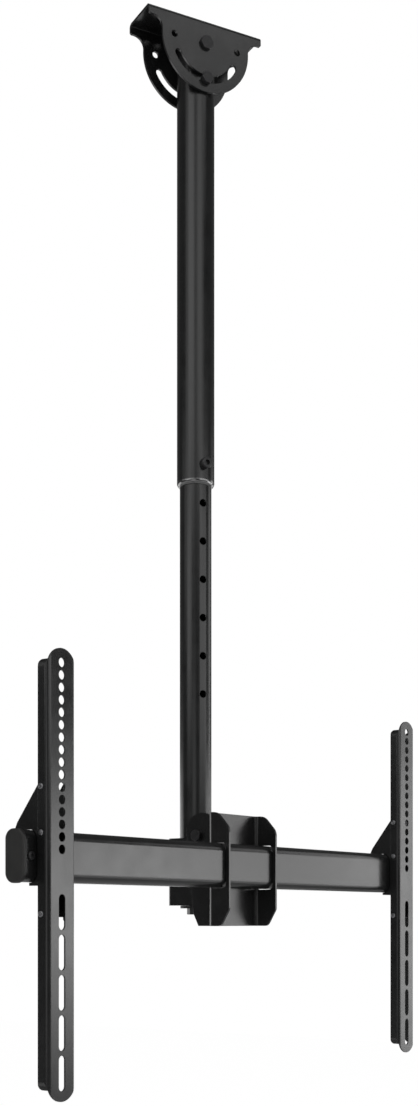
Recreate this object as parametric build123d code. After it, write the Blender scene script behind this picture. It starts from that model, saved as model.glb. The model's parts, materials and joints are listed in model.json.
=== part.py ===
from build123d import *
import math
import os

# Ceiling-hung television mount. Millimetres, +Z up, the crossbar along X,
# the television side at -Y. The origin is the middle of the ceiling face.
# The bracket and the pole stand turned a little on the pole's axis, against the head.

# Fits
running_fit = 0.06
seat_fit = 0.04
face_gap = 0.3
slide_gap = 0.4

# How far a through cut runs past the faces it opens
cut_past = 1.0
# How near an edge or corner lies to count as on a face
near = 0.001

# Ceiling bracket
bracket_turn_deg = -25.0
bracket_length = 152.0
bracket_sheet = 3.0
bracket_fold = 2.0
lip_height = 12.0
lip_corner = 2.5
lip_tip = 5.0
pivot_drop = 28.0
tongue_radius = 58.0
arc_radius = 42.5
arc_margin_deg = 1.0
ceiling_tilt_deg = 60.0
side_hole_radius = 4.0
ceiling_hole_edge = 32.0
ceiling_hole_pitch = 16.0
ceiling_hole_radius = 4.5
cheek_gap = 1.0

# Telescopic pole
outer_tube_radius = 22.7
outer_tube_wall = 2.0
outer_tube_above_pivot = 9.5
outer_tube_length = 530.0
inner_tube_radius = 19.2
inner_tube_wall = 2.0
inner_tube_overlap = 70.0
lock_hole_edge = 17.5
lock_hole_pitch = 46.0
lock_hole_count = 7
lock_hole_radius = 4.5
bush_sleeve = 40.0
bush_band = 1.0
bush_nose = 5.0
bush_lip = 1.0
guide_length = 16.0
guide_lip = 3.0
guide_lead = 1.5
guide_taper = 0.6
plug_below_bolt = 12.0

# Bolts, nuts and washers
pivot_bolt_radius = 5.0
bolt_radius = 4.0
pivot_head_flats = 15.0
bolt_head_flats = 13.0
pivot_head_height = 4.0
bolt_head_height = 5.3
bolt_end = 3.0
head_corner_trim = 0.5
head_chamfer = 0.6
stem_chamfer = 0.7
nut_extra = 1.0
socket_head_radius = 6.5
socket_head_height = 8.0
socket_flats = 6.0
socket_depth = 4.0
socket_chamfer = 1.0
pivot_washer_radius = 10.0
washer_radius = 8.5
washer_thickness = 1.6

# Swivel head
tilt_drop = 978.4
tilt_bolt_gap = 2.5
yoke_side_gap = 3.0
yoke_back_gap = 1.6
yoke_sheet = 3.0
yoke_back_below_tilt = 2.0
yoke_below_tilt = 83.0
yoke_floor = 4.0
yoke_fold = 2.0
yoke_ear_radius = 16.0
yoke_neck = 1.0
yoke_foot_ahead = 6.0
yoke_foot_slope = 9.0
yoke_lock_margin = 10.0
swivel_bolt_radius = 6.0
swivel_head_flats = 19.0
swivel_head_height = 7.5
swivel_washer_radius = 18.5
swivel_washer_thickness = 2.0
lower_washer_thickness = 3.0
swivel_plug_length = 22.0
swivel_bolt_end = 2.0
plug_chamfer = 1.5

# Television tilt
tilt_arc_radius = 44.0
tilt_down_deg = 15.0
tilt_up_deg = 5.0
tilt_washer = 1.6
ear_sheet = 3.0
ear_width = 45.0
ear_above_tilt = 27.0
ear_foot_cut_y = 18.0
ear_foot_cut_z = 14.0
ear_taper = 11.0

# Centre channel
channel_half_width = 49.5
channel_sheet = 3.0
channel_fold = 5.0
channel_behind_tilt = 27.9
channel_ahead_of_bar = 5.0
channel_above_bar = 62.3
channel_below_bar = 70.5
channel_top_chamfer_y = 17.0
channel_top_chamfer_z = 19.0
channel_bottom_chamfer_y = 12.0
channel_bottom_chamfer_z = 20.0
channel_top_corner = 14.0
channel_bottom_corner = 7.0
window_corner = 5.0
window_gap = 0.5

# Crossbar
bar_half_length = 384.5
bar_height = 52.0
bar_depth = 23.4
bar_corner = 9.5
bar_wall = 2.0
bar_below_tilt = 37.0
bar_web_gap = 0.4
cap_thickness = 4.0
cap_proud = 1.0
cap_edge = 1.8
cap_plug = 20.0
cap_screw_inset = 7.5
cap_screw_head_radius = 4.4
cap_screw_head_height = 2.2
cap_screw_radius = 2.4
cap_screw_length = 14.0
cap_screw_end = 2.0
cap_screw_dome = 1.2
cap_screw_socket = 4.0
cap_screw_socket_depth = 1.3
bar_screw_radius = 3.0
bar_screw_x = 10.0
bar_screw_z = 12.0
bar_screw_flats = 10.0
bar_screw_head = 4.0
bar_screw_length = 12.0

# Arms and carriages
arm_inset = 35.0
arm_length = 450.0
arm_width = 41.5
arm_depth = 13.5
arm_sheet = 1.8
arm_fold = 3.2
arm_stand_off = 3.0
arm_below_bar = 18.7
arm_flange_short = 12.6
arm_flange_corner = 5.0
arm_hole_radius = 4.7
arm_hole_first = 14.3
arm_hole_pitch = 12.35
arm_hole_count = 16
arm_slot_first = 261.8
arm_slot_pitch = 40.0
arm_slot_count = 5
arm_slot_length = 35.5
carriage_sheet = 2.5
carriage_above_bar = 78.0
carriage_below_bar = 67.0
carriage_front_gap = 0.2
carriage_shoulder = 4.0
hook_thickness = 5.5
hook_drop = 20.0
hook_slope = 6.0
hook_rise = 8.0
foot_lip_inset = 13.1
foot_corner = 4.0
foot_web_drop = 60.5
bridge_thickness = 3.0
bridge_inset = 2.0
foot_lip_sheet = 3.0
rivet_radius = 2.2
rivet_head_radius = 3.2
rivet_head_height = 1.6
rivet_dome = 1.2
rivet_tail_radius = 3.1
rivet_tail = 1.0
rivet_edge = 9.5
rivet_inset = 4.4
grip_screw_radius = 2.5
grip_screw_flats = 8.0
grip_screw_head = 2.5

# Places worked out from the sizes above
outer_ceiling_hole = bracket_length / 2 - ceiling_hole_edge
inner_ceiling_hole = outer_ceiling_hole - ceiling_hole_pitch
lip_over_pivot = pivot_drop - lip_height
# The neck runs tangent from the tongue's circle to the lip, up to the lip's tip
neck_end = bracket_length / 2 - lip_tip
neck_span = neck_end ** 2 + lip_over_pivot ** 2 - tongue_radius ** 2
neck_radius = neck_span / 2 / (tongue_radius + lip_over_pivot)
cheek_in = outer_tube_radius + cheek_gap
cheek_out = cheek_in + bracket_sheet
tube_bore = outer_tube_radius - outer_tube_wall
inner_bore = inner_tube_radius - inner_tube_wall
tube_top = outer_tube_above_pivot - pivot_drop
tube_bottom = tube_top - outer_tube_length
bush_low = tube_bottom - bush_band - bush_nose
lock_bolt_z = -pivot_drop - arc_radius
lock_hole_z = tube_bottom + lock_hole_edge
inner_tube_top = lock_hole_z + inner_tube_overlap

tilt_y = -(inner_tube_radius + tilt_bolt_gap + bolt_radius)
tilt_z = -tilt_drop
yoke_in = inner_tube_radius + yoke_side_gap
yoke_half_width = yoke_in + yoke_sheet
yoke_back = inner_tube_radius + yoke_back_gap + yoke_sheet
yoke_back_top = tilt_z - yoke_back_below_tilt
yoke_bottom = tilt_z - yoke_below_tilt
inner_tube_bottom = yoke_bottom + yoke_floor + swivel_washer_thickness + face_gap
swivel_seat = yoke_bottom - face_gap - lower_washer_thickness
tilt_lock_z = tilt_z - tilt_arc_radius
ear_in = yoke_half_width + tilt_washer + face_gap
ear_out = ear_in + ear_sheet
ear_seat = ear_out + face_gap
ear_top = tilt_z + ear_above_tilt

bar_z = tilt_z - bar_below_tilt
bar_top = bar_z + bar_height / 2
bar_low = bar_z - bar_height / 2
web_back = tilt_y - channel_behind_tilt
web_front = web_back - channel_sheet
bar_back = web_front - bar_web_gap
bar_y = bar_back - bar_depth / 2
bar_front = bar_back - bar_depth
channel_front = bar_front - channel_ahead_of_bar
channel_top = bar_z + channel_above_bar
channel_bottom = bar_z - channel_below_bar
ear_back = web_back + ear_width
cap_screw_x = bar_half_length - cap_screw_inset

arm_spread = bar_half_length - arm_inset
arm_z = bar_z - arm_below_bar
arm_back = bar_front - arm_stand_off
arm_front = arm_back - arm_depth
arm_inside = arm_front + arm_sheet
carriage_out = arm_width / 2 - arm_sheet - seat_fit
carriage_in = carriage_out - carriage_sheet
carriage_top = bar_z + carriage_above_bar
carriage_bottom = bar_z - carriage_below_bar
carriage_front = arm_inside + arm_fold + carriage_front_gap
hook_back = bar_back + slide_gap + hook_thickness
foot_lip_back = bar_back - foot_lip_inset
grip_y = (arm_back + foot_lip_back) / 2
foot_lip_top = bar_low - slide_gap
foot_lip_low = foot_lip_top - foot_lip_sheet
rivet_y = arm_back - rivet_inset
rivet_heights = (carriage_top - rivet_edge, bar_top - rivet_head_radius, carriage_bottom + rivet_edge)


def to_x(part):
    return Rot(0, 90, 0) * part


def to_y(part):
    return Rot(-90, 0, 0) * part


def rod_z(radius, low, high, x=0.0, y=0.0):
    return Pos(x, y, (low + high) / 2) * Cylinder(radius, high - low)


def rod_y(radius, low, high, x=0.0, z=0.0):
    return Pos(x, (low + high) / 2, z) * to_y(Cylinder(radius, high - low))


def rod_x(radius, low, high, y=0.0, z=0.0):
    return Pos((low + high) / 2, y, z) * to_x(Cylinder(radius, high - low))


def block(x0, x1, y0, y1, z0, z1):
    middle = Pos((x0 + x1) / 2, (y0 + y1) / 2, (z0 + z1) / 2)
    return middle * Box(x1 - x0, y1 - y0, z1 - z0)


def slab_x(face, x0, x1):
    return extrude(Plane.YZ.offset(x0) * face, x1 - x0)


def slab_y(face, y0, y1):
    return extrude(Plane.XZ.offset(-y1) * face, y1 - y0)


def rims(part):
    return part.edges().filter_by(GeomType.CIRCLE).sort_by(Axis.Z)


def hexagon(flats):
    return RegularPolygon(flats / 2, 6, major_radius=False)


def hex_head(flats, height):
    head = extrude(hexagon(flats), height)
    cone = rod_z(flats / math.sqrt(3) - head_corner_trim, 0, height)
    return head & chamfer(rims(cone)[0], head_chamfer)


def hex_bolt(flats, head, radius, shank):
    body = Pos(0, 0, -head) * hex_head(flats, head)
    stem = rod_z(radius, 0, shank)
    return body + chamfer(rims(stem)[-1], stem_chamfer)


def hex_nut(flats, height, radius):
    nut = Pos(0, 0, height) * Rot(180, 0, 0) * hex_head(flats, height)
    return nut - rod_z(radius + seat_fit, -cut_past, height + cut_past)


def ring(outer, inner, height):
    return rod_z(outer, 0, height) - rod_z(inner, -cut_past, height + cut_past)


def group(name, solids):
    whole = Compound(children=[s.solid() for s in solids])
    whole.label = name
    return whole


def bar_section(grow, corner):
    return Pos(bar_y, bar_z) * RectangleRounded(bar_depth + 2 * grow, bar_height + 2 * grow, corner)


def make_ceiling_bracket():
    lip = Pos(0, -lip_height / 2) * Rectangle(bracket_length, lip_height)
    disc = Pos(0, -pivot_drop) * Circle(tongue_radius)
    below = Pos(0, -tongue_radius) * Rectangle(2 * bracket_length, 2 * tongue_radius)
    outline = lip + (disc & below)
    necks = [v for v in outline.vertices()
             if abs(v.Y + lip_height) < near and abs(v.X) < bracket_length / 2 - near]
    outline = fillet(necks, neck_radius)
    tips = [v for v in outline.vertices()
            if abs(v.Y + lip_height) < near and abs(v.X) > bracket_length / 2 - near]
    outline = fillet(tips, lip_corner)
    body = slab_y(outline, -cheek_out, cheek_out)
    depth = pivot_drop + tongue_radius + cut_past
    body -= block(-bracket_length, bracket_length, -cheek_in, cheek_in, -depth, -bracket_sheet)
    outer = [e for e in body.edges().filter_by(Axis.X)
             if abs(e.center().Z) < near and abs(abs(e.center().Y) - cheek_out) < near]
    body = fillet(outer, bracket_fold + bracket_sheet)
    inner = [e for e in body.edges().filter_by(Axis.X)
             if abs(e.center().Z + bracket_sheet) < near and abs(abs(e.center().Y) - cheek_in) < near]
    body = fillet(inner, bracket_fold)
    half = ceiling_tilt_deg + arc_margin_deg
    arc = CenterArc((0, -pivot_drop), arc_radius, 270 - half, 2 * half)
    slot = SlotArc(arc, 2 * (bolt_radius + slide_gap))
    reach = cheek_out + cut_past
    body -= slab_y(slot, -reach, reach)
    body -= rod_y(pivot_bolt_radius + seat_fit, -reach, reach, 0, -pivot_drop)
    for side in (-1, 1):
        body -= rod_y(side_hole_radius, -reach, reach, side * arc_radius, -pivot_drop)
        for x in (inner_ceiling_hole, outer_ceiling_hole):
            body -= rod_z(ceiling_hole_radius, -bracket_sheet - cut_past, cut_past, side * x)
    return body


def make_outer_tube():
    tube = rod_z(outer_tube_radius, tube_bottom, tube_top)
    tube -= rod_z(tube_bore, tube_bottom - cut_past, tube_top + cut_past)
    reach = outer_tube_radius + cut_past
    tube -= rod_y(pivot_bolt_radius + running_fit, -reach, reach, 0, -pivot_drop)
    tube -= rod_y(bolt_radius + seat_fit, -reach, reach, 0, lock_bolt_z)
    tube -= rod_y(bolt_radius + seat_fit, -reach, reach, 0, lock_hole_z)
    return tube


def make_tube_plug():
    low = lock_bolt_z - plug_below_bolt
    plug = rod_z(tube_bore - seat_fit, low, tube_top)
    plug = chamfer(rims(plug)[0], plug_chamfer)
    reach = outer_tube_radius + cut_past
    plug -= rod_y(pivot_bolt_radius + running_fit, -reach, reach, 0, -pivot_drop)
    plug -= rod_y(bolt_radius + seat_fit, -reach, reach, 0, lock_bolt_z)
    return plug


def make_guide_bush():
    bore = inner_tube_radius + running_fit
    seat = tube_bore - seat_fit
    mouth = inner_tube_radius + bush_lip
    nose_top = tube_bottom - bush_band
    # The nose leaves the tube's side without a corner
    nose = TangentArc((outer_tube_radius, nose_top), (mouth, bush_low), tangent=(0, -1))
    wall = Polyline(
        (mouth, bush_low),
        (bore, bush_low),
        (bore, tube_bottom + bush_sleeve),
        (seat, tube_bottom + bush_sleeve),
        (seat, tube_bottom),
        (outer_tube_radius, tube_bottom),
        (outer_tube_radius, nose_top),
    )
    bush = revolve(Plane.XZ * make_face(nose + wall), Axis.Z)
    reach = outer_tube_radius + cut_past
    return bush - rod_y(bolt_radius + seat_fit, -reach, reach, 0, lock_hole_z)


def make_inner_tube():
    tube = rod_z(inner_tube_radius, inner_tube_bottom, inner_tube_top)
    tube -= rod_z(inner_bore, inner_tube_bottom - cut_past, inner_tube_top + cut_past)
    reach = inner_tube_radius + cut_past
    for step in range(lock_hole_count):
        z = lock_hole_z - step * lock_hole_pitch
        tube -= rod_y(lock_hole_radius, -reach, reach, 0, z)
    return tube


def make_inner_guide():
    seat = inner_tube_radius + seat_fit
    run = tube_bore - running_fit
    top = inner_tube_top + guide_lip
    points = [
        (seat, inner_tube_top - guide_length),
        (run - guide_taper, inner_tube_top - guide_length),
        (run, inner_tube_top - guide_length + guide_lead),
        (run, top - guide_lead),
        (run - guide_taper, top),
        (inner_bore, top),
        (inner_bore, inner_tube_top),
        (seat, inner_tube_top),
    ]
    return revolve(Plane.XZ * make_face(Polyline(*points, close=True)), Axis.Z)


def make_height_bolt():
    head = rod_z(socket_head_radius, -socket_head_height, 0)
    head = chamfer(rims(head)[0], socket_chamfer)
    head -= Pos(0, 0, -socket_head_height) * extrude(hexagon(socket_flats), socket_depth)
    stem = rod_z(bolt_radius, 0, 2 * outer_tube_radius + bolt_head_height + nut_extra + bolt_end)
    return Pos(0, -outer_tube_radius, lock_hole_z) * to_y(head + stem)


def yoke_profile():
    front_low = tilt_y - yoke_foot_ahead
    body = Polyline(
        (yoke_back, yoke_bottom),
        (yoke_back, yoke_back_top),
        (tilt_y + yoke_ear_radius + yoke_neck, yoke_back_top),
        (tilt_y - yoke_ear_radius, tilt_z),
        (front_low, tilt_lock_z - yoke_lock_margin),
        (front_low + yoke_foot_slope, yoke_bottom),
        close=True,
    )
    return make_face(body) + Pos(tilt_y, tilt_z) * Circle(yoke_ear_radius)


def make_yoke():
    body = slab_x(yoke_profile(), -yoke_half_width, yoke_half_width)
    floor = yoke_bottom + yoke_floor
    body -= block(-yoke_in, yoke_in, channel_front, yoke_back - yoke_sheet, floor, 0)
    backs = [e for e in body.edges().filter_by(Axis.Z)
             if abs(e.center().Y - yoke_back) < near]
    body = fillet(backs, yoke_fold + yoke_sheet)
    insides = [e for e in body.edges().filter_by(Axis.Z)
               if abs(e.center().Y - yoke_back + yoke_sheet) < near]
    body = fillet(insides, yoke_fold)
    reach = yoke_half_width + cut_past
    for z in (tilt_z, tilt_lock_z):
        body -= rod_x(bolt_radius + seat_fit, -reach, reach, tilt_y, z)
    body -= rod_z(swivel_bolt_radius + running_fit, yoke_bottom - cut_past, floor + cut_past)
    return body


def make_swivel_plug():
    high = inner_tube_bottom + swivel_plug_length
    plug = rod_z(inner_bore - seat_fit, inner_tube_bottom, high)
    plug = chamfer(rims(plug)[-1], plug_chamfer)
    return plug - rod_z(swivel_bolt_radius + seat_fit, inner_tube_bottom - cut_past, high + cut_past)


def make_swivel_bolt():
    reach = inner_tube_bottom + swivel_plug_length - swivel_bolt_end - swivel_seat
    bolt = hex_bolt(swivel_head_flats, swivel_head_height, swivel_bolt_radius, reach)
    return Pos(0, 0, swivel_seat) * bolt


def make_swivel_washers():
    hole = swivel_bolt_radius + seat_fit
    upper = Pos(0, 0, inner_tube_bottom - swivel_washer_thickness)
    upper = upper * ring(inner_tube_radius, hole, swivel_washer_thickness)
    lower = Pos(0, 0, swivel_seat) * ring(swivel_washer_radius, hole, lower_washer_thickness)
    return group("swivel_washers", [upper, lower])


def tilt_bolt_at(z):
    shank = 2 * ear_seat + bolt_head_height + nut_extra + bolt_end
    bolt = hex_bolt(bolt_head_flats, bolt_head_height, bolt_radius, shank)
    return Pos(-ear_seat, tilt_y, z) * to_x(bolt)


def tilt_nut_at(z):
    nut = hex_nut(bolt_head_flats, bolt_head_height + nut_extra, bolt_radius)
    return Pos(ear_seat, tilt_y, z) * to_x(nut)


def make_tilt_washers():
    washers = []
    for z in (tilt_z, tilt_lock_z):
        for side in (-1, 1):
            x = yoke_half_width if side > 0 else -yoke_half_width - tilt_washer
            disc = ring(washer_radius, bolt_radius + seat_fit, tilt_washer)
            washers.append(Pos(x, tilt_y, z) * to_x(disc))
    return group("tilt_washers", washers)


def ear_profile():
    radius = (ear_back - web_back) / 2
    middle = (ear_back + web_back) / 2
    shoulder = ear_top - radius
    plate = Polyline(
        (web_back, channel_bottom),
        (web_back, shoulder),
        (ear_back, shoulder),
        (ear_back - ear_taper, channel_bottom + ear_foot_cut_z),
        (ear_back - ear_foot_cut_y, channel_bottom),
        close=True,
    )
    return make_face(plate) + Pos(middle, shoulder) * Circle(radius)


def make_tilt_ears():
    face = ear_profile()
    face -= Pos(tilt_y, tilt_z) * Circle(bolt_radius + running_fit)
    start = 270 - tilt_down_deg
    arc = CenterArc((tilt_y, tilt_z), tilt_arc_radius, start, tilt_down_deg + tilt_up_deg)
    face -= SlotArc(arc, 2 * (bolt_radius + slide_gap))
    plates = [slab_x(face, -ear_out, -ear_in), slab_x(face, ear_in, ear_out)]
    return group("tilt_ears", plates)


def flange_profile():
    outline = Polyline(
        (web_back, channel_bottom),
        (web_back, channel_top),
        (channel_front + channel_top_chamfer_y, channel_top),
        (channel_front, channel_top - channel_top_chamfer_z),
        (channel_front, channel_bottom + channel_bottom_chamfer_z),
        (channel_front + channel_bottom_chamfer_y, channel_bottom),
        close=True,
    )
    face = make_face(outline)
    upper = [v for v in face.vertices() if v.X < web_front and v.Y > bar_z]
    face = fillet(upper, channel_top_corner)
    lower = [v for v in face.vertices() if v.X < web_front and v.Y < bar_low]
    return fillet(lower, channel_bottom_corner)


def make_centre_channel():
    body = slab_x(flange_profile(), -channel_half_width, channel_half_width)
    inside = channel_half_width - channel_sheet
    body -= block(-inside, inside, channel_front - cut_past, web_front,
                  channel_bottom - cut_past, channel_top + cut_past)
    outer = [e for e in body.edges().filter_by(Axis.Z)
             if abs(e.center().Y - web_back) < near]
    body = fillet(outer, channel_fold + channel_sheet)
    inner = [e for e in body.edges().filter_by(Axis.Z)
             if abs(e.center().Y - web_front) < near]
    body = fillet(inner, channel_fold)
    for side in (-1, 1):
        ends = (side * (inside - channel_fold), side * (channel_half_width + cut_past))
        x0 = min(ends)
        x1 = max(ends)
        window = slab_x(bar_section(window_gap, window_corner), x0, x1)
        body -= window & block(x0, x1, channel_front, web_front, channel_bottom, channel_top)
    for z in (bar_z - bar_screw_z, bar_z + bar_screw_z):
        for x in (-bar_screw_x, bar_screw_x):
            body -= rod_y(bar_screw_radius + seat_fit, web_front - cut_past, web_back + cut_past, x, z)
    return body


def make_crossbar():
    body = slab_x(bar_section(0, bar_corner), -bar_half_length, bar_half_length)
    hollow = bar_section(-bar_wall, bar_corner - bar_wall)
    body -= slab_x(hollow, -bar_half_length - cut_past, bar_half_length + cut_past)
    back_wall = (bar_back - bar_wall - cut_past, bar_back + cut_past)
    front_wall = (bar_front - cut_past, bar_front + bar_wall + cut_past)
    for z in (bar_z - bar_screw_z, bar_z + bar_screw_z):
        for x in (-bar_screw_x, bar_screw_x):
            body -= rod_y(bar_screw_radius + seat_fit, *back_wall, x, z)
    for x in (-cap_screw_x, cap_screw_x):
        body -= rod_y(cap_screw_radius + seat_fit, *front_wall, x, bar_z)
    return body


def make_crossbar_screws():
    screws = []
    for z in (bar_z - bar_screw_z, bar_z + bar_screw_z):
        for x in (-bar_screw_x, bar_screw_x):
            screw = hex_bolt(bar_screw_flats, bar_screw_head, bar_screw_radius, bar_screw_length)
            screws.append(Pos(x, web_back, z) * Rot(90, 0, 0) * screw)
    return group("crossbar_screws", screws)


def make_end_cap(side):
    inner = bar_half_length
    rim = slab_x(bar_section(cap_proud, bar_corner + cap_proud), inner, inner + cap_thickness)
    outer_edges = rim.faces().sort_by(Axis.X)[-1].edges()
    rim = fillet(outer_edges, cap_edge)
    grow = -bar_wall - seat_fit
    plug = slab_x(bar_section(grow, bar_corner + grow), inner - cap_plug, inner)
    cap = rim + plug
    deep = bar_front + cap_screw_length + cap_screw_end
    cap -= rod_y(cap_screw_radius + seat_fit, bar_front, deep, cap_screw_x, bar_z)
    if side < 0:
        cap = mirror(cap, Plane.YZ)
    return cap


def make_cap_screws():
    screws = []
    for x in (-cap_screw_x, cap_screw_x):
        head = rod_z(cap_screw_head_radius, -cap_screw_head_height, 0)
        head = fillet(rims(head)[0], cap_screw_dome)
        socket = extrude(hexagon(cap_screw_socket), cap_screw_socket_depth)
        head -= Pos(0, 0, -cap_screw_head_height) * socket
        stem = rod_z(cap_screw_radius, 0, cap_screw_length)
        screws.append(Pos(x, bar_front, bar_z) * to_y(head + stem))
    return group("cap_screws", screws)


def make_arm(side):
    half = arm_width / 2
    outer_corner = arm_fold + arm_sheet
    mid_y = (arm_front + arm_back) / 2
    solid = Pos(0, mid_y) * Rectangle(arm_width, arm_depth)
    fronts = [v for v in solid.vertices() if v.Y < mid_y]
    solid = fillet(fronts, outer_corner)
    hollow = Pos(0, arm_inside + arm_depth / 2) * Rectangle(arm_width - 2 * arm_sheet, arm_depth)
    corners = [v for v in hollow.vertices() if v.Y < mid_y]
    hollow = fillet(corners, arm_fold)
    bottom = arm_z - arm_length / 2
    channel = extrude(Pos(0, 0, bottom) * (solid - hollow), arm_length)
    front = Pos(0, arm_z) * Rot(0, 0, 90) * SlotOverall(arm_length, arm_width)
    channel &= slab_y(front, arm_front - cut_past, arm_back + cut_past)
    long_part = Pos((arm_front + arm_inside) / 2, arm_z) * Rectangle(arm_sheet, arm_length)
    flange = Pos(mid_y, arm_z) * Rectangle(arm_depth, arm_length - 2 * arm_flange_short)
    backs = [v for v in flange.vertices() if v.X > mid_y]
    flange = fillet(backs, arm_flange_corner)
    channel &= slab_x(long_part + flange, -half - cut_past, half + cut_past)
    face_cut = (arm_front - cut_past, arm_inside + cut_past)
    top = arm_z + arm_length / 2
    for step in range(arm_hole_count):
        z = top - arm_hole_first - step * arm_hole_pitch
        channel -= rod_y(arm_hole_radius, *face_cut, 0, z)
    for step in range(arm_slot_count):
        z = top - arm_slot_first - step * arm_slot_pitch
        slot = Pos(0, z) * Rot(0, 0, 90) * SlotOverall(arm_slot_length, 2 * arm_hole_radius)
        channel -= slab_y(slot, *face_cut)
    for z in rivet_heights:
        channel -= rod_x(rivet_radius + seat_fit, -half - cut_past, half + cut_past, rivet_y, z)
    return Pos(side * arm_spread, 0, 0) * channel


def gusset_profile():
    outline = Polyline(
        (carriage_front, carriage_top),
        (arm_back - carriage_shoulder, carriage_top),
        (hook_back - hook_thickness / 2, bar_top + hook_rise),
        (hook_back, bar_top + hook_rise - hook_slope),
        (hook_back, bar_top - hook_drop),
        (foot_lip_back, bar_top - hook_drop),
        (foot_lip_back, foot_lip_low),
        (arm_back, foot_lip_low),
        (arm_back, carriage_bottom + foot_corner),
        (arm_back - foot_corner, carriage_bottom),
        (carriage_front, carriage_bottom),
        close=True,
    )
    return make_face(outline) - bar_section(slide_gap, bar_corner)


def make_carriage(side):
    face = gusset_profile()
    body = slab_x(face, -carriage_out, -carriage_in) + slab_x(face, carriage_in, carriage_out)
    bridge = bar_top + slide_gap
    body += block(-carriage_in, carriage_in, bar_front + bridge_inset, foot_lip_back,
                  bridge, bridge + bridge_thickness)
    web = (arm_back - carriage_sheet, arm_back)
    body += block(-carriage_in, carriage_in, web[0], foot_lip_back, foot_lip_low, foot_lip_top)
    # The foot's web narrows to a tab between the tails of the lowest rivets
    tails_clear = rivet_heights[-1] + rivet_tail_radius + face_gap
    body += block(-carriage_in, carriage_in, *web, tails_clear, foot_lip_low)
    tab = carriage_in - rivet_tail - face_gap
    body += block(-tab, tab, *web, bar_z - foot_web_drop, foot_lip_low)
    reach = carriage_out + cut_past
    for z in rivet_heights:
        body -= rod_x(rivet_radius + seat_fit, -reach, reach, rivet_y, z)
    body -= rod_z(grip_screw_radius + seat_fit, foot_lip_low - cut_past, foot_lip_top + cut_past, 0, grip_y)
    return Pos(side * arm_spread, 0, 0) * body


def make_rivets(side, name):
    rivets = []
    half = arm_width / 2
    grip = half - carriage_in
    for z in rivet_heights:
        for hand in (-1, 1):
            head = rod_z(rivet_head_radius, -rivet_head_height, 0)
            head = fillet(rims(head)[0], rivet_dome)
            tail = rod_z(rivet_tail_radius, grip, grip + rivet_tail)
            rivet = head + rod_z(rivet_radius, 0, grip) + tail
            turned = Rot(0, 90, 0) if hand < 0 else Rot(0, -90, 0)
            rivets.append(Pos(side * arm_spread + hand * half, rivet_y, z) * turned * rivet)
    return group(name, rivets)


def make_grip_screw(side):
    reach = bar_low - face_gap - foot_lip_low
    screw = hex_bolt(grip_screw_flats, grip_screw_head, grip_screw_radius, reach)
    return Pos(side * arm_spread, grip_y, foot_lip_low) * screw


def save(name, part):
    part.label = name
    export_step(part, "parts/" + name + ".step")


def save_turned(name, part):
    save(name, Rot(0, 0, bracket_turn_deg) * part)


os.makedirs("parts", exist_ok=True)

save_turned("ceiling_bracket", make_ceiling_bracket())
pivot_shank = 2 * cheek_out + washer_thickness + pivot_head_height + nut_extra + bolt_end
pivot = hex_bolt(pivot_head_flats, pivot_head_height, pivot_bolt_radius, pivot_shank)
save_turned("pivot_bolt", Pos(0, -cheek_out, -pivot_drop) * to_y(pivot))
pivot_disc = ring(pivot_washer_radius, pivot_bolt_radius + seat_fit, washer_thickness)
save_turned("pivot_washer", Pos(0, cheek_out, -pivot_drop) * to_y(pivot_disc))
pivot_nut = hex_nut(pivot_head_flats, pivot_head_height + nut_extra, pivot_bolt_radius)
save_turned("pivot_nut", Pos(0, cheek_out + washer_thickness, -pivot_drop) * to_y(pivot_nut))

save_turned("outer_tube", make_outer_tube())
save_turned("tube_plug", make_tube_plug())
save_turned("guide_bush", make_guide_bush())
bolt_nut = hex_nut(bolt_head_flats, bolt_head_height + nut_extra, bolt_radius)
lock_seat = cheek_out + face_gap
lock_out = lock_seat + washer_thickness
lock_disc = ring(washer_radius, bolt_radius + seat_fit, washer_thickness)
lock_shank = lock_seat + lock_out + bolt_head_height + nut_extra + bolt_end
lock_bolt = hex_bolt(bolt_head_flats, bolt_head_height, bolt_radius, lock_shank)
save_turned("pole_lock_bolt", Pos(0, -lock_seat, lock_bolt_z) * to_y(lock_bolt))
save_turned("pole_lock_washer", Pos(0, lock_seat, lock_bolt_z) * to_y(lock_disc))
save_turned("pole_lock_nut", Pos(0, lock_out, lock_bolt_z) * to_y(bolt_nut))
save_turned("height_bolt", make_height_bolt())
save_turned("height_nut", Pos(0, outer_tube_radius, lock_hole_z) * to_y(bolt_nut))

save_turned("inner_tube", make_inner_tube())
save_turned("inner_guide", make_inner_guide())
save("swivel_plug", make_swivel_plug())
save("swivel_bolt", make_swivel_bolt())
save("swivel_washers", make_swivel_washers())

save("yoke", make_yoke())
save("tilt_bolt", tilt_bolt_at(tilt_z))
save("tilt_lock_bolt", tilt_bolt_at(tilt_lock_z))
save("tilt_nuts", group("tilt_nuts", [tilt_nut_at(tilt_z), tilt_nut_at(tilt_lock_z)]))
save("tilt_washers", make_tilt_washers())

save("centre_channel", make_centre_channel())
save("tilt_ears", make_tilt_ears())
save("crossbar", make_crossbar())
save("crossbar_screws", make_crossbar_screws())
save("end_cap_left", make_end_cap(-1))
save("end_cap_right", make_end_cap(1))
save("cap_screws", make_cap_screws())

for hand, word in ((-1, "left"), (1, "right")):
    save("arm_" + word, make_arm(hand))
    save("carriage_" + word, make_carriage(hand))
    save("rivets_" + word, make_rivets(hand, "rivets_" + word))
    save("grip_screw_" + word, make_grip_screw(hand))
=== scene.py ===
import json
import math

import bmesh
import bpy
from mathutils import Matrix, Vector


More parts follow.
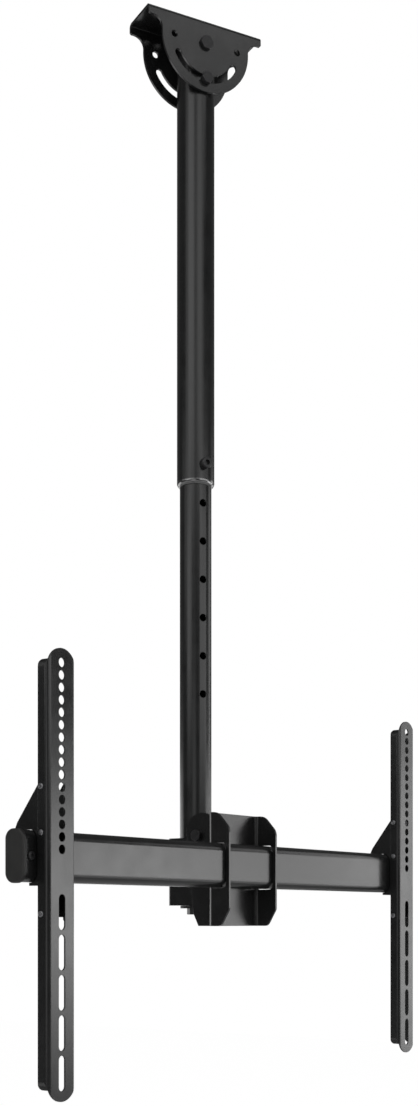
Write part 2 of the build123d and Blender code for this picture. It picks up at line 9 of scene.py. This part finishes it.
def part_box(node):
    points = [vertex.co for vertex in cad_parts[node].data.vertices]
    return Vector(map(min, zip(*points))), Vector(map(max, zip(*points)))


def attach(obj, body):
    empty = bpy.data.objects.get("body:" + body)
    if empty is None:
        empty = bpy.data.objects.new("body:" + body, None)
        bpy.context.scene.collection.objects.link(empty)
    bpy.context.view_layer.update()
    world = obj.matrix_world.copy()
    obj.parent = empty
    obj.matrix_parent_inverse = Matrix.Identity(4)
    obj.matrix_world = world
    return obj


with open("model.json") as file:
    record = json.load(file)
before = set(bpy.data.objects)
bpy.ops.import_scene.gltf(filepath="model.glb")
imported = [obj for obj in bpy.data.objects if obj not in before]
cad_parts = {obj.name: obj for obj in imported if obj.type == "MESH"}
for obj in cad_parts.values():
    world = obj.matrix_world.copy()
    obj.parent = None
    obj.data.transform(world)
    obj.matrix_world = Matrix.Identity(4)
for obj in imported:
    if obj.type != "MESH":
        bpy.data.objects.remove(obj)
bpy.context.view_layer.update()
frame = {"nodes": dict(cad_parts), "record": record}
nodes = frame["nodes"]
scene = bpy.context.scene
scene.view_settings.view_transform = "Standard"
print("frame loaded:", len(nodes), "nodes")


# Shader building blocks

def newMaterial(name):
    material = bpy.data.materials.new(name)
    material.use_nodes = True
    tree = material.node_tree
    shader = tree.nodes["Principled BSDF"]
    return material, tree, shader


def addNode(tree, kind, **inputs):
    node = tree.nodes.new(kind)
    for name, value in inputs.items():
        node.inputs[name].default_value = value
    return node


def objectCoords(tree):
    return addNode(tree, "ShaderNodeTexCoord").outputs["Object"]


def noiseOf(tree, coords, scale, detail=2.0, rough=0.5):
    noise = addNode(tree, "ShaderNodeTexNoise", Scale=scale, Detail=detail, Roughness=rough)
    tree.links.new(coords, noise.inputs["Vector"])
    return noise.outputs["Fac"]


noiseSpan = (0.3, 0.7)   # where most of a noise's values lie


def rampOf(tree, factor, low, high):
    ramp = tree.nodes.new("ShaderNodeValToRGB")
    for end, position, colour in zip(ramp.color_ramp.elements, noiseSpan, (low, high)):
        end.position = position
        end.color = (*colour, 1.0)
    tree.links.new(factor, ramp.inputs["Fac"])
    return ramp.outputs["Color"]


def spreadOf(tree, factor, low, high):
    spread = addNode(tree, "ShaderNodeMapRange")
    spread.inputs["From Min"].default_value = noiseSpan[0]
    spread.inputs["From Max"].default_value = noiseSpan[1]
    spread.inputs["To Min"].default_value = low
    spread.inputs["To Max"].default_value = high
    tree.links.new(factor, spread.inputs["Value"])
    return spread.outputs["Result"]


def bumpOf(tree, height, strength, distance, normal=None):
    bump = addNode(tree, "ShaderNodeBump", Strength=strength, Distance=distance)
    tree.links.new(height, bump.inputs["Height"])
    if normal is not None:
        tree.links.new(normal, bump.inputs["Normal"])
    return bump.outputs["Normal"]


def softEdges(tree, radius):
    bevel = addNode(tree, "ShaderNodeBevel", Radius=radius)
    bevel.samples = 4
    return bevel.outputs["Normal"]


# Finishes: colours are linear, edge and depths are in metres, scales are noise cells to the metre

def paintedFinish(look):
    material, tree, shader = newMaterial(look["name"])
    coords = objectCoords(tree)
    cloudy = noiseOf(tree, coords, look["cloudScale"], detail=3.0)
    grain = noiseOf(tree, coords, look["grainScale"], rough=0.6)
    peel = noiseOf(tree, coords, look["peelScale"], detail=1.0)
    colour = rampOf(tree, cloudy, look["dark"], look["light"])
    roughness = spreadOf(tree, cloudy, *look["roughness"])
    normal = softEdges(tree, look["edge"])
    normal = bumpOf(tree, peel, look["peelStrength"], look["peelDepth"], normal)
    normal = bumpOf(tree, grain, look["grainStrength"], look["grainDepth"], normal)
    tree.links.new(colour, shader.inputs["Base Color"])
    tree.links.new(roughness, shader.inputs["Roughness"])
    tree.links.new(normal, shader.inputs["Normal"])
    shader.inputs["Metallic"].default_value = look.get("metallic", 0.0)
    shader.inputs["IOR"].default_value = look.get("ior", 1.5)
    shader.inputs["Coat Weight"].default_value = look.get("coat", 0.0)
    shader.inputs["Coat Roughness"].default_value = look.get("coatRoughness", 0.2)
    return material


powderCoat = {
    "name": "powderCoat",
    "dark": (0.0070, 0.0072, 0.0073),
    "light": (0.0110, 0.0113, 0.0114),
    "roughness": (0.20, 0.26),
    "cloudScale": 38.0,
    "grainScale": 2400.0,
    "grainStrength": 0.28,
    "grainDepth": 0.00004,
    "peelScale": 620.0,
    "peelStrength": 0.20,
    "peelDepth": 0.00010,
    "edge": 0.0005,
}

blackOxide = {
    "name": "blackOxide",
    "dark": (0.016, 0.016, 0.017),
    "light": (0.030, 0.030, 0.031),
    "roughness": (0.30, 0.40),
    "cloudScale": 210.0,
    "grainScale": 3200.0,
    "grainStrength": 0.12,
    "grainDepth": 0.00002,
    "peelScale": 900.0,
    "peelStrength": 0.05,
    "peelDepth": 0.00004,
    "edge": 0.0003,
    "metallic": 0.35,
}

rivetSteel = {
    "name": "rivetSteel",
    "dark": (0.16, 0.16, 0.165),
    "light": (0.30, 0.30, 0.31),
    "roughness": (0.26, 0.36),
    "cloudScale": 420.0,
    "grainScale": 3000.0,
    "grainStrength": 0.08,
    "grainDepth": 0.00002,
    "peelScale": 1200.0,
    "peelStrength": 0.05,
    "peelDepth": 0.00003,
    "edge": 0.0002,
    "metallic": 1.0,
}

nylon = {
    "name": "blackNylon",
    "dark": (0.010, 0.010, 0.010),
    "light": (0.016, 0.016, 0.016),
    "roughness": (0.48, 0.58),
    "cloudScale": 90.0,
    "grainScale": 1500.0,
    "grainStrength": 0.10,
    "grainDepth": 0.00003,
    "peelScale": 400.0,
    "peelStrength": 0.05,
    "peelDepth": 0.00006,
    "edge": 0.0004,
}

collarPlastic = {
    "name": "collarPlastic",
    "dark": (0.006, 0.006, 0.0065),
    "light": (0.010, 0.010, 0.0105),
    "roughness": (0.12, 0.18),
    "ior": 2.2,
    "coat": 0.5,
    "coatRoughness": 0.12,
    "cloudScale": 70.0,
    "grainScale": 1800.0,
    "grainStrength": 0.03,
    "grainDepth": 0.00001,
    "peelScale": 260.0,
    "peelStrength": 0.04,
    "peelDepth": 0.00006,
    "edge": 0.0006,
}

capPlastic = {
    "name": "capPlastic",
    "dark": (0.010, 0.010, 0.0095),
    "light": (0.016, 0.016, 0.015),
    "roughness": (0.44, 0.54),
    "cloudScale": 60.0,
    "grainScale": 1300.0,
    "grainStrength": 0.30,
    "grainDepth": 0.00005,
    "peelScale": 500.0,
    "peelStrength": 0.08,
    "peelDepth": 0.00008,
    "edge": 0.0006,
}

slotFinish = {
    "black_powder_coat": paintedFinish(powderCoat),
    "black_oxide_steel": paintedFinish(blackOxide),
    "rivet_steel": paintedFinish(rivetSteel),
    "black_nylon": paintedFinish(nylon),
    "gloss_black_plastic": paintedFinish(collarPlastic),
    "matte_black_plastic": paintedFinish(capPlastic),
}

for part in frame["record"]["subparts"]:
    mesh = nodes[part["node"]].data
    mesh.materials.clear()
    mesh.materials.append(slotFinish[part["material_slot"]])


# Details that are too small for the solids: threads, welds and rivet cores

behaviour = frame["record"]["behaviour"]
bodyOf = {node: body for body, members in behaviour["bodies"].items() for node in members}
slotOf = {part["node"]: part["material_slot"] for part in frame["record"]["subparts"]}
jointAxis = {joint["name"]: Vector(joint["axis"]).normalized() for joint in behaviour["joints"]}


def pointsOf(node):
    return [vertex.co for vertex in nodes[node].data.vertices]


def middleOf(values):
    return (min(values) + max(values)) / 2


def skinRows(shape, rows):
    rings = [[shape.verts.new(point) for point in row] for row in rows]
    for here, there in zip(rings, rings[1:]):
        for i in range(len(here)):
            j = (i + 1) % len(here)
            shape.faces.new((here[i], here[j], there[j], there[i]))
    shape.faces.new(reversed(rings[0]))
    shape.faces.new(rings[-1])


def addPiece(name, shape, carrier):
    bmesh.ops.recalc_face_normals(shape, faces=shape.faces)
    mesh = bpy.data.meshes.new(name)
    shape.to_mesh(mesh)
    shape.free()
    mesh.materials.append(slotFinish[slotOf[carrier]])
    piece = bpy.data.objects.new(name, mesh)
    scene.collection.objects.link(piece)
    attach(piece, bodyOf[carrier])


thread = {
    "bolts": {
        "pivot_bolt": {"nut": "pivot_nut", "joint": "ceiling_tilt"},
        "pole_lock_bolt": {"nut": "pole_lock_nut", "joint": "ceiling_tilt"},
        "height_bolt": {"nut": "height_nut", "joint": "ceiling_tilt"},
        "tilt_bolt": {"nut": "tilt_nuts", "joint": "tv_tilt"},
        "tilt_lock_bolt": {"nut": "tilt_nuts", "joint": "tv_tilt"},
    },
    "pitch": 0.00115,
    "crest": 0.00028,     # above the shank
    "root": 0.00010,      # below it, so that the ridge's foot is covered
    "halfWidth": 0.45,    # of the pitch
    "tipSpace": 0.0005,
    "steps": 40,          # a turn
    "runOut": 8.0,        # the crest rises over one part in this many of the length
}


def addThread(bolt, nut, axis):
    side = axis.cross(Vector((0.0, 0.0, 1.0))).normalized()
    up = side.cross(axis)
    nutFace = max(point.dot(axis) for point in pointsOf(nut))
    tail = [point for point in pointsOf(bolt) if point.dot(axis) > nutFace + thread["root"]]
    start = nutFace + thread["pitch"] / 2
    length = max(point.dot(axis) for point in tail) - thread["tipSpace"] - start
    centre = side * middleOf([point.dot(side) for point in tail])
    centre += up * middleOf([point.dot(up) for point in tail])
    radius = max((point - centre).dot(up) for point in tail)
    turns = length / thread["pitch"]
    count = round(turns * thread["steps"])
    rows = []
    for i in range(count + 1):
        share = i / count
        angle = 2 * math.pi * turns * share
        outward = side * math.cos(angle) + up * math.sin(angle)
        spot = centre + axis * (start + length * share)
        lift = thread["crest"] * min(1.0, thread["runOut"] * share, thread["runOut"] * (1 - share))
        foot = spot + outward * (radius - thread["root"])
        half = axis * thread["pitch"] * thread["halfWidth"]
        rows.append((foot - half, spot + outward * (radius + lift), foot + half))
    shape = bmesh.new()
    skinRows(shape, rows)
    addPiece(bolt + "_thread", shape, bolt)


for bolt, mate in thread["bolts"].items():
    addThread(bolt, mate["nut"], jointAxis[mate["joint"]])
print("threads:", len(thread["bolts"]))


weld = {
    "carrier": "tilt_ears",
    "wall": "centre_channel",
    "radius": 0.0026,
    "length": 0.024,
    "stitches": 3,        # up each ear, outside
    "ripple": 0.0021,
    "rippleDepth": 0.13,  # of the radius
    "endRadius": 0.12,    # of the radius
    "endPower": 8,        # how late the bead narrows
    "sink": 0.0003,       # into the wall and the ear
    "rows": 72,
    "arc": [math.radians(angle) for angle in range(-10, 101, 11)],
}


def addWeld():
    earLow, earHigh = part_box(weld["carrier"])
    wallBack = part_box(weld["wall"])[1].y
    touching = [point.z for point in pointsOf(weld["carrier"]) if point.y < wallBack + weld["sink"]]
    pitch = (max(touching) - min(touching)) / weld["stitches"]
    shape = bmesh.new()
    for face, outward in ((earLow.x, -1), (earHigh.x, 1)):
        for stitch in range(weld["stitches"]):
            middle = min(touching) + pitch * (stitch + 0.5)
            rows = []
            for i in range(weld["rows"] + 1):
                share = i / weld["rows"]
                along = (share - 0.5) * weld["length"]
                ripple = 1 + weld["rippleDepth"] * math.sin(2 * math.pi * along / weld["ripple"])
                narrowing = max(weld["endRadius"], 1 - (2 * share - 1) ** weld["endPower"])
                radius = weld["radius"] * ripple * narrowing
                row = [(face - outward * weld["sink"], wallBack - weld["sink"], middle + along)]
                for angle in weld["arc"]:
                    x = face + outward * radius * math.cos(angle)
                    row.append((x, wallBack + radius * math.sin(angle), middle + along))
                rows.append(row)
            skinRows(shape, rows)
    addPiece("ear_welds", shape, weld["carrier"])


addWeld()
print("weld stitches:", 2 * weld["stitches"])


rivetCore = {
    "carriers": ("rivets_left", "rivets_right"),
    "profile": (          # radius, and height above the head
        (0.00155, -0.00020), (0.00150, 0.00012), (0.00115, 0.00012), (0.00110, 0.00034), (0.00080, 0.00044),
    ),
    "sides": 24,
    "flat": 0.00002,      # points this close to the end face are on the head's flat
    "apart": 0.010,       # heads stand further apart than this
}


def headCentres(node, face):
    flat = sorted((p for p in pointsOf(node) if abs(p.x - face) < rivetCore["flat"]), key=lambda p: p.z)
    groups = [[flat[0]]]
    for point in flat[1:]:
        if point.z - groups[-1][-1].z > rivetCore["apart"]:
            groups.append([])
        groups[-1].append(point)
    return [(middleOf([p.y for p in group]), middleOf([p.z for p in group])) for group in groups]


def addRivetCores(node):
    low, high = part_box(node)
    shape = bmesh.new()
    for face, outward in ((low.x, -1), (high.x, 1)):
        for y, z in headCentres(node, face):
            rows = []
            for radius, stand in rivetCore["profile"]:
                ring = []
                for i in range(rivetCore["sides"]):
                    angle = 2 * math.pi * i / rivetCore["sides"]
                    x = face + outward * stand
                    ring.append((x, y + radius * math.cos(angle), z + radius * math.sin(angle)))
                rows.append(ring)
            skinRows(shape, rows)
    addPiece(node + "_cores", shape, node)


for carrier in rivetCore["carriers"]:
    addRivetCores(carrier)
print("rivet cores on:", len(rivetCore["carriers"]), "arms")


# Camera, as the photograph was taken: level, below the bracket, to the left of the television side

photoHeight = 1106.0   # pixels, the photograph's longer side
view = {
    "focal": 1520.0,   # photo pixels
    "turn": 53.6,      # degrees from the front towards the left arm
    "distance": 1.8452,
    "aside": 0.0162,
    "height": -1.0781,
    "horizon": 919.4,  # photo pixels from the top
    "sensor": 36.0,    # millimetres
}


def makeCamera():
    turn = math.radians(view["turn"])
    ahead = Vector((math.sin(turn), math.cos(turn), 0.0))
    right = Vector((math.cos(turn), -math.sin(turn), 0.0))
    spot = -view["distance"] * ahead + view["aside"] * right
    spot.z = view["height"]
    data = bpy.data.cameras.new("camera")
    data.sensor_width = view["sensor"]
    data.lens = view["focal"] / photoHeight * view["sensor"]
    data.shift_y = (view["horizon"] - photoHeight / 2) / photoHeight
    camera = bpy.data.objects.new("camera", data)
    camera.location = spot
    camera.rotation_euler = ahead.to_track_quat("-Z", "Y").to_euler()
    scene.collection.objects.link(camera)
    scene.camera = camera
    return ahead


ahead = makeCamera()
print("camera set")


# Studio lamps: swing is in degrees from the camera, positive to its right, and reach is the distance
# from the pole; level is the radiance. Two lamps in one plane would hide each other.

lamps = [
    {"name": "keyRight", "swing": 92.0, "reach": 2.2, "height": -1.03, "size": (0.95, 0.38), "level": 2.2},
    {"name": "keySoft", "swing": 99.0, "reach": 2.2, "height": -1.07, "size": (1.50, 0.74), "level": 2.1},
    {"name": "armRight", "swing": 120.5, "reach": 2.2, "height": -1.00, "size": (0.40, 1.10), "level": 2.1},
    {"name": "stripRight", "swing": 55.0, "reach": 2.2, "height": -0.30, "size": (2.54, 0.80), "level": 1.65},
    {"name": "edgeRight", "swing": 120.0, "reach": 2.2, "height": -0.18, "size": (1.20, 0.56), "level": 0.9},
    {"name": "stripLeft", "swing": -46.0, "reach": 2.2, "height": -0.27, "size": (1.43, 0.56), "level": 1.2},
    {"name": "coreLeft", "swing": -50.0, "reach": 2.2, "height": -0.27, "size": (0.70, 0.56), "level": 0.5},
    {"name": "edgeLeft", "swing": -75.0, "reach": 2.2, "height": -0.06, "size": (1.00, 0.42), "level": 0.7},
    {"name": "wideLeft", "swing": -33.0, "reach": 2.3, "height": 0.75, "size": (2.66, 1.40), "level": 0.7},
    {"name": "poleLeft", "swing": -27.0, "reach": 2.3, "height": 0.75, "size": (1.50, 1.40), "level": 1.0},
    {"name": "wideRight", "swing": 24.0, "reach": 2.3, "height": 0.75, "size": (2.20, 1.40), "level": 0.7},
    {"name": "poleRight", "swing": 24.0, "reach": 2.2, "height": 0.75, "size": (1.00, 1.40), "level": 0.7},
    {"name": "bracketFill", "swing": 57.0, "reach": 2.3, "height": 1.42, "size": (0.80, 0.60), "level": 1.5},
    {"name": "frontLow", "swing": -12.0, "reach": 2.2, "height": -0.92, "size": (1.10, 0.94), "level": 0.8},
    {"name": "rimLeft", "swing": -128.0, "reach": 2.2, "height": -1.00, "size": (2.60, 0.45), "level": 0.7},
    {"name": "backLeft", "swing": -126.0, "reach": 3.0, "height": -1.30, "size": (2.60, 1.40), "level": 1.1},
    {"name": "backMid", "swing": -172.0, "reach": 3.0, "height": -1.30, "size": (1.80, 1.40), "level": 1.1},
    {"name": "backRight", "swing": 147.0, "reach": 3.0, "height": -1.30, "size": (1.30, 1.40), "level": 1.1},
    {"name": "overhead", "swing": 0.0, "reach": 0.2, "height": 2.40, "size": (2.40, 2.40), "level": 0.7,
     "down": True},
]
# Lamps below the arms, from behind the left arm round to the front right, for the views from above
lowRing = {
    "swings": [view["turn"] + 45.0 * step for step in range(-3, 2)],
    "reach": 2.6,
    "height": -1.93,
    "size": (2.10, 0.54),
    "level": 1.0,
}
aim = Vector((0.0, 0.0, -0.85))


def makeLamp(spec):
    turned = Matrix.Rotation(math.radians(spec["swing"]), 3, "Z") @ (-ahead)
    spot = turned * spec["reach"]
    spot.z = spec["height"]
    wide, tall = spec["size"]
    data = bpy.data.lights.new(spec["name"], "AREA")
    data.shape = "RECTANGLE"
    data.size = wide
    data.size_y = tall
    data.energy = spec["level"] * math.pi * wide * tall
    lamp = bpy.data.objects.new(spec["name"], data)
    lamp.location = spot
    facing = aim - spot
    if not spec.get("down"):
        facing.z = 0.0
    lamp.rotation_euler = facing.to_track_quat("-Z", "Y").to_euler()
    scene.collection.objects.link(lamp)


for spec in lamps:
    makeLamp(spec)
for i, swing in enumerate(lowRing["swings"]):
    makeLamp({**lowRing, "name": "low" + str(i), "swing": swing})
print("lamps:", len(lamps) + len(lowRing["swings"]))


# Pale room

room = {
    "ambient": 0.05,
    "glossShare": 0.07,    # of the white, in the paint's reflections
    "white": 1.0,
    "floorHeight": -2.5,
    "floorHalf": 14.0,
    "floorColour": (0.86, 0.86, 0.86, 1.0),
    "floorRoughness": 0.9,
    "floorGlow": 0.945,    # brings the lamplit floor level with the white behind it
}
pureWhite = (1.0, 1.0, 1.0, 1.0)


def paleFactor(tree, glossShare):
    path = addNode(tree, "ShaderNodeLightPath")
    seen = addNode(tree, "ShaderNodeMath")
    seen.operation = "ADD"
    tree.links.new(path.outputs["Is Camera Ray"], seen.inputs[0])
    tree.links.new(path.outputs["Is Transmission Ray"], seen.inputs[1])
    gloss = addNode(tree, "ShaderNodeMath")
    gloss.operation = "MULTIPLY_ADD"
    gloss.use_clamp = True
    gloss.inputs[1].default_value = glossShare
    tree.links.new(path.outputs["Is Glossy Ray"], gloss.inputs[0])
    tree.links.new(seen.outputs[0], gloss.inputs[2])
    return gloss.outputs[0]


def makeRoom():
    world = bpy.data.worlds.new("room")
    scene.world = world
    world.use_nodes = True
    tree = world.node_tree
    level = addNode(tree, "ShaderNodeMapRange")
    level.inputs["To Min"].default_value = room["ambient"]
    level.inputs["To Max"].default_value = room["white"]
    tree.links.new(paleFactor(tree, room["glossShare"]), level.inputs["Value"])
    tree.links.new(level.outputs["Result"], tree.nodes["Background"].inputs["Strength"])
    tree.nodes["Background"].inputs["Color"].default_value = pureWhite

    half = room["floorHalf"]
    z = room["floorHeight"]
    mesh = bpy.data.meshes.new("floor")
    corners = [(-half, -half, z), (half, -half, z), (half, half, z), (-half, half, z)]
    mesh.from_pydata(corners, [], [(0, 1, 2, 3)])
    floor = bpy.data.objects.new("floor", mesh)
    scene.collection.objects.link(floor)
    material, tree, shader = newMaterial("paleFloor")
    shader.inputs["Base Color"].default_value = room["floorColour"]
    shader.inputs["Roughness"].default_value = room["floorRoughness"]
    shader.inputs["Emission Color"].default_value = pureWhite
    glow = addNode(tree, "ShaderNodeMath")
    glow.operation = "MULTIPLY"
    glow.inputs[1].default_value = room["floorGlow"]
    tree.links.new(paleFactor(tree, room["glossShare"]), glow.inputs[0])
    tree.links.new(glow.outputs[0], shader.inputs["Emission Strength"])
    mesh.materials.append(material)


makeRoom()
print("room ready")
